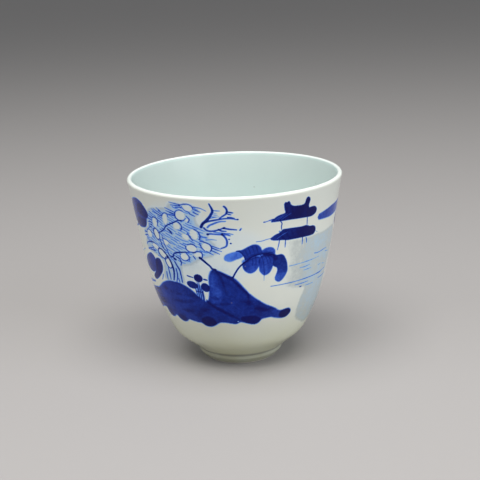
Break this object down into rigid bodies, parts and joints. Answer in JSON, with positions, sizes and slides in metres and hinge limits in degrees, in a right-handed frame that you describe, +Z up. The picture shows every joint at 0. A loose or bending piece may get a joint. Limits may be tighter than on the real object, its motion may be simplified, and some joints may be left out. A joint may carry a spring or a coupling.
{
  "type": "teacup",
  "caption": "Handleless porcelain teacup: a deep round-bottomed bowl on a narrow foot ring, with a landscape painted in blue under its clear glaze.",
  "frame": {"origin": "centre of the foot ring, on the ground that the cup stands on", "axes": "+Z up along the cup's axis; -Y is the painted side with the pavilion and the leaf"},
  "size_m": [0.072, 0.072, 0.064],
  "materials": {
    "biscuit": "fired porcelain clay, bare and matt on the rim that the cup stands on",
    "white_glaze": "clear glossy glaze, a warm greyish white, over a landscape painted in cobalt blue",
    "pale_glaze": "clear glossy glaze with a pale blue-green cast, plain"
  },
  "bodies": {
    "root": {"bowl": "biscuit", "foot_ring": "biscuit", "outer_glaze": "white_glaze", "inner_glaze": "pale_glaze", "well_glaze": "white_glaze"}
  },
  "joints": []
}
